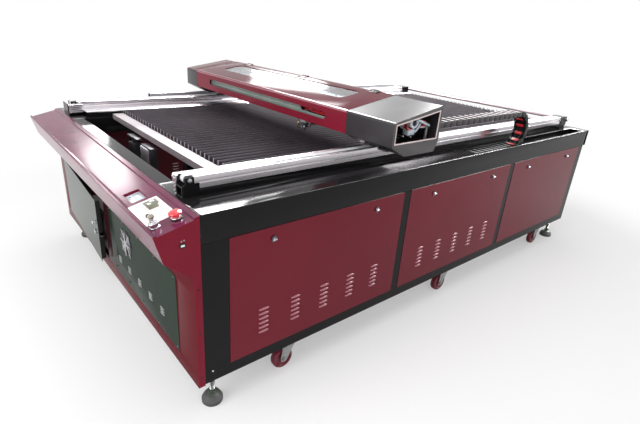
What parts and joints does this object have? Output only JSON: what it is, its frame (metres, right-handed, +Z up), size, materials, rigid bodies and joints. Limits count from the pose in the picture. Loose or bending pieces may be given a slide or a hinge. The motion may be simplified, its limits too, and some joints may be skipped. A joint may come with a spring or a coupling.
{
  "type": "laser cutting and engraving machine",
  "caption": "Large flatbed laser cutter with a moving gantry over a slatted table on a steel cabinet with side doors, console, castors and levelling feet.",
  "frame": {"origin": "centre of the bounding box, on the floor", "axes": "+X to the machine's right, seen by the operator at the console; +Y from the console to the back; +Z up"},
  "size_m": [1.95, 3.198, 1.136],
  "materials": {
    "black_enamel": "gloss black powder coat",
    "maroon_paint": "gloss wine-red paint",
    "green_black_paint": "gloss dark green-black paint",
    "aluminium": "bare extruded aluminium",
    "table_steel": "pale paint",
    "slat_steel": "scorched bare steel",
    "case_grey": "satin grey",
    "zinc": "zinc plate",
    "white_panel": "satin white",
    "red_plastic": "gloss red",
    "red_wheel": "satin red",
    "chrome": "polished",
    "black_plastic": "matt black",
    "tube_glass": "clear glass tube"
  },
  "bodies": {
    "frame": {"frame_tubes": "black_enamel", "side_beams": "black_enamel", "end_beams": "black_enamel", "front_cover": "maroon_paint", "rear_cover": "maroon_paint", "console": "maroon_paint", "control_panels": "white_panel", "rail_supports": "black_enamel", "guide_rails": "aluminium", "table_beams": "table_steel", "slats": "slat_steel", "power_supply": "case_grey", "feet_and_castor_plates": "zinc", "front_vent_panel": "green_black_paint", "fan_unit": "black_plastic"},
    "front_door": {"front_door": "green_black_paint"},
    "front_door_lock": {"front_door_lock": "chrome"},
    "estop": {"estop_button": "red_plastic"},
    "key": {"key_switch": "chrome"},
    "fan_rotor": {"fan_rotor": "black_plastic"},
    "gantry": {"gantry_frame": "black_enamel", "gantry_cover": "maroon_paint", "laser_tube": "tube_glass", "chain_run": "black_plastic"},
    "gantry_lid": {"gantry_lid": "maroon_paint"},
    "head": {"head_carriage": "aluminium"},
    "lens": {"lens_tube": "aluminium"},
    "chain_bend": {"chain_bend": "black_plastic"},
    "right_door_1": {"right_door_1": "maroon_paint"},
    "right_lock_1a": {"right_lock_1a": "chrome"},
    "right_lock_1b": {"right_lock_1b": "chrome"},
    "right_door_2": {"right_door_2": "maroon_paint"},
    "right_lock_2a": {"right_lock_2a": "chrome"},
    "right_lock_2b": {"right_lock_2b": "chrome"},
    "right_door_3": {"right_door_3": "maroon_paint"},
    "right_lock_3a": {"right_lock_3a": "chrome"},
    "right_lock_3b": {"right_lock_3b": "chrome"},
    "right_castor_fork_1": {"right_castor_fork_1": "zinc"},
    "right_castor_wheel_1": {"right_castor_wheel_1": "red_wheel"},
    "right_castor_fork_2": {"right_castor_fork_2": "zinc"},
    "right_castor_wheel_2": {"right_castor_wheel_2": "red_wheel"},
    "right_castor_fork_3": {"right_castor_fork_3": "zinc"},
    "right_castor_wheel_3": {"right_castor_wheel_3": "red_wheel"},
    "right_idler": {"right_idler": "aluminium"},
    "left_door_1": {"left_door_1": "maroon_paint"},
    "left_lock_1a": {"left_lock_1a": "chrome"},
    "left_lock_1b": {"left_lock_1b": "chrome"},
    "left_door_2": {"left_door_2": "maroon_paint"},
    "left_lock_2a": {"left_lock_2a": "chrome"},
    "left_lock_2b": {"left_lock_2b": "chrome"},
    "left_door_3": {"left_door_3": "maroon_paint"},
    "left_lock_3a": {"left_lock_3a": "chrome"},
    "left_lock_3b": {"left_lock_3b": "chrome"},
    "left_castor_fork_1": {"left_castor_fork_1": "zinc"},
    "left_castor_wheel_1": {"left_castor_wheel_1": "red_wheel"},
    "left_castor_fork_2": {"left_castor_fork_2": "zinc"},
    "left_castor_wheel_2": {"left_castor_wheel_2": "red_wheel"},
    "left_castor_fork_3": {"left_castor_fork_3": "zinc"},
    "left_castor_wheel_3": {"left_castor_wheel_3": "red_wheel"},
    "left_idler": {"left_idler": "aluminium"}
  },
  "joints": [
    {"name": "front_door_hinge", "type": "hinge", "parent": "frame", "child": "front_door", "pos_m": [-0.862, -1.4753, 0.385], "axis": [0, 0, -1], "range_deg": [-2.6, 115]},
    {"name": "front_door_lock_turn", "type": "hinge", "parent": "front_door", "child": "front_door_lock", "pos_m": [-0.13875, -1.50814, 0.363], "axis": [-0.0454, -0.999, 0], "range_deg": [0, 90]},
    {"name": "right_door_hinge_1", "type": "hinge", "parent": "frame", "child": "right_door_1", "pos_m": [0.95, -0.88483, 0.206], "axis": [0, 1, 0], "range_deg": [0, 90]},
    {"name": "right_lock_turn_1a", "type": "hinge", "parent": "right_door_1", "child": "right_lock_1a", "pos_m": [0.95, -1.159, 0.69], "axis": [1, 0, 0], "range_deg": [0, 90]},
    {"name": "right_lock_turn_1b", "type": "hinge", "parent": "right_door_1", "child": "right_lock_1b", "pos_m": [0.95, -0.61067, 0.69], "axis": [-1, 0, 0], "range_deg": [0, 90]},
    {"name": "right_door_hinge_2", "type": "hinge", "parent": "frame", "child": "right_door_2", "pos_m": [0.95, 0.0755, 0.206], "axis": [0, 1, 0], "range_deg": [0, 90]},
    {"name": "right_lock_turn_2a", "type": "hinge", "parent": "right_door_2", "child": "right_lock_2a", "pos_m": [0.95, -0.19867, 0.69], "axis": [1, 0, 0], "range_deg": [0, 90]},
    {"name": "right_lock_turn_2b", "type": "hinge", "parent": "right_door_2", "child": "right_lock_2b", "pos_m": [0.95, 0.34967, 0.69], "axis": [-1, 0, 0], "range_deg": [0, 90]},
    {"name": "right_door_hinge_3", "type": "hinge", "parent": "frame", "child": "right_door_3", "pos_m": [0.95, 1.03583, 0.206], "axis": [0, 1, 0], "range_deg": [0, 90]},
    {"name": "right_lock_turn_3a", "type": "hinge", "parent": "right_door_3", "child": "right_lock_3a", "pos_m": [0.95, 0.76167, 0.69], "axis": [1, 0, 0], "range_deg": [0, 90]},
    {"name": "right_lock_turn_3b", "type": "hinge", "parent": "right_door_3", "child": "right_lock_3b", "pos_m": [0.95, 1.31, 0.69], "axis": [-1, 0, 0], "range_deg": [0, 90]},
    {"name": "right_castor_swivel_1", "type": "hinge", "parent": "frame", "child": "right_castor_fork_1", "pos_m": [0.886, -1.014, 0.155], "axis": [0, 0, 1], "continuous": true},
    {"name": "right_castor_spin_1", "type": "hinge", "parent": "right_castor_fork_1", "child": "right_castor_wheel_1", "pos_m": [0.886, -1.052, 0.05], "axis": [1, 0, 0], "continuous": true},
    {"name": "right_castor_swivel_2", "type": "hinge", "parent": "frame", "child": "right_castor_fork_2", "pos_m": [0.886, 0.13, 0.155], "axis": [0, 0, 1], "continuous": true},
    {"name": "right_castor_spin_2", "type": "hinge", "parent": "right_castor_fork_2", "child": "right_castor_wheel_2", "pos_m": [0.886, 0.092, 0.05], "axis": [1, 0, 0], "continuous": true},
    {"name": "right_castor_swivel_3", "type": "hinge", "parent": "frame", "child": "right_castor_fork_3", "pos_m": [0.886, 1.302, 0.155], "axis": [0, 0, 1], "continuous": true},
    {"name": "right_castor_spin_3", "type": "hinge", "parent": "right_castor_fork_3", "child": "right_castor_wheel_3", "pos_m": [0.886, 1.264, 0.05], "axis": [1, 0, 0], "continuous": true},
    {"name": "right_idler_spin", "type": "hinge", "parent": "frame", "child": "right_idler", "pos_m": [0.76, -1.403, 0.905], "axis": [1, 0, 0], "continuous": true},
    {"name": "left_door_hinge_1", "type": "hinge", "parent": "frame", "child": "left_door_1", "pos_m": [-0.95, -0.88483, 0.206], "axis": [0, -1, 0], "range_deg": [0, 90]},
    {"name": "left_lock_turn_1a", "type": "hinge", "parent": "left_door_1", "child": "left_lock_1a", "pos_m": [-0.95, -1.159, 0.69], "axis": [1, 0, 0], "range_deg": [0, 90]},
    {"name": "left_lock_turn_1b", "type": "hinge", "parent": "left_door_1", "child": "left_lock_1b", "pos_m": [-0.95, -0.61067, 0.69], "axis": [-1, 0, 0], "range_deg": [0, 90]},
    {"name": "left_door_hinge_2", "type": "hinge", "parent": "frame", "child": "left_door_2", "pos_m": [-0.95, 0.0755, 0.206], "axis": [0, -1, 0], "range_deg": [0, 90]},
    {"name": "left_lock_turn_2a", "type": "hinge", "parent": "left_door_2", "child": "left_lock_2a", "pos_m": [-0.95, -0.19867, 0.69], "axis": [1, 0, 0], "range_deg": [0, 90]},
    {"name": "left_lock_turn_2b", "type": "hinge", "parent": "left_door_2", "child": "left_lock_2b", "pos_m": [-0.95, 0.34967, 0.69], "axis": [-1, 0, 0], "range_deg": [0, 90]},
    {"name": "left_door_hinge_3", "type": "hinge", "parent": "frame", "child": "left_door_3", "pos_m": [-0.95, 1.03583, 0.206], "axis": [0, -1, 0], "range_deg": [0, 90]},
    {"name": "left_lock_turn_3a", "type": "hinge", "parent": "left_door_3", "child": "left_lock_3a", "pos_m": [-0.95, 0.76167, 0.69], "axis": [1, 0, 0], "range_deg": [0, 90]},
    {"name": "left_lock_turn_3b", "type": "hinge", "parent": "left_door_3", "child": "left_lock_3b", "pos_m": [-0.95, 1.31, 0.69], "axis": [-1, 0, 0], "range_deg": [0, 90]},
    {"name": "left_castor_swivel_1", "type": "hinge", "parent": "frame", "child": "left_castor_fork_1", "pos_m": [-0.886, -1.014, 0.155], "axis": [0, 0, 1], "continuous": true},
    {"name": "left_castor_spin_1", "type": "hinge", "parent": "left_castor_fork_1", "child": "left_castor_wheel_1", "pos_m": [-0.886, -1.052, 0.05], "axis": [1, 0, 0], "continuous": true},
    {"name": "left_castor_swivel_2", "type": "hinge", "parent": "frame", "child": "left_castor_fork_2", "pos_m": [-0.886, 0.13, 0.155], "axis": [0, 0, 1], "continuous": true},
    {"name": "left_castor_spin_2", "type": "hinge", "parent": "left_castor_fork_2", "child": "left_castor_wheel_2", "pos_m": [-0.886, 0.092, 0.05], "axis": [1, 0, 0], "continuous": true},
    {"name": "left_castor_swivel_3", "type": "hinge", "parent": "frame", "child": "left_castor_fork_3", "pos_m": [-0.886, 1.302, 0.155], "axis": [0, 0, 1], "continuous": true},
    {"name": "left_castor_spin_3", "type": "hinge", "parent": "left_castor_fork_3", "child": "left_castor_wheel_3", "pos_m": [-0.886, 1.264, 0.05], "axis": [1, 0, 0], "continuous": true},
    {"name": "left_idler_spin", "type": "hinge", "parent": "frame", "child": "left_idler", "pos_m": [-0.76, -1.403, 0.905], "axis": [1, 0, 0], "continuous": true},
    {"name": "estop_push", "type": "slide", "parent": "frame", "child": "estop", "axis": [0, 0.241, -0.9705], "range_m": [0, 0.005]},
    {"name": "key_turn", "type": "hinge", "parent": "frame", "child": "key", "pos_m": [0.89, -1.56747, 0.80865], "axis": [0, -0.241, 0.9705], "range_deg": [0, 90]},
    {"name": "fan_spin", "type": "hinge", "parent": "frame", "child": "fan_rotor", "pos_m": [0.249, -1.456, 0.453], "axis": [0, 1, 0], "continuous": true},
    {"name": "gantry_slide", "type": "slide", "parent": "frame", "child": "gantry", "axis": [0, 1, 0], "range_m": [-0.72, 1.56], "deforming": ["chain_run"]},
    {"name": "lid_hinge", "type": "hinge", "parent": "gantry", "child": "gantry_lid", "pos_m": [0, -0.275, 1.132], "axis": [-1, 0, 0], "range_deg": [0, 100]},
    {"name": "head_slide", "type": "slide", "parent": "gantry", "child": "head", "axis": [1, 0, 0], "range_m": [-0.94, 0.31]},
    {"name": "lens_focus", "type": "slide", "parent": "head", "child": "lens", "axis": [0, 0, 1], "range_m": [-0.012, 0.02]},
    {"name": "chain_bend_slide", "type": "slide", "parent": "gantry", "child": "chain_bend", "axis": [0, 1, 0], "range_m": [-0.79, 0.37]}
  ],
  "couplings": [
    {"joint": "chain_bend_slide", "follows": "gantry_slide", "ratio": -0.5},
    {"joint": "right_idler_spin", "follows": "gantry_slide", "rad_per_m": -76.923},
    {"joint": "left_idler_spin", "follows": "gantry_slide", "rad_per_m": -76.923}
  ]
}
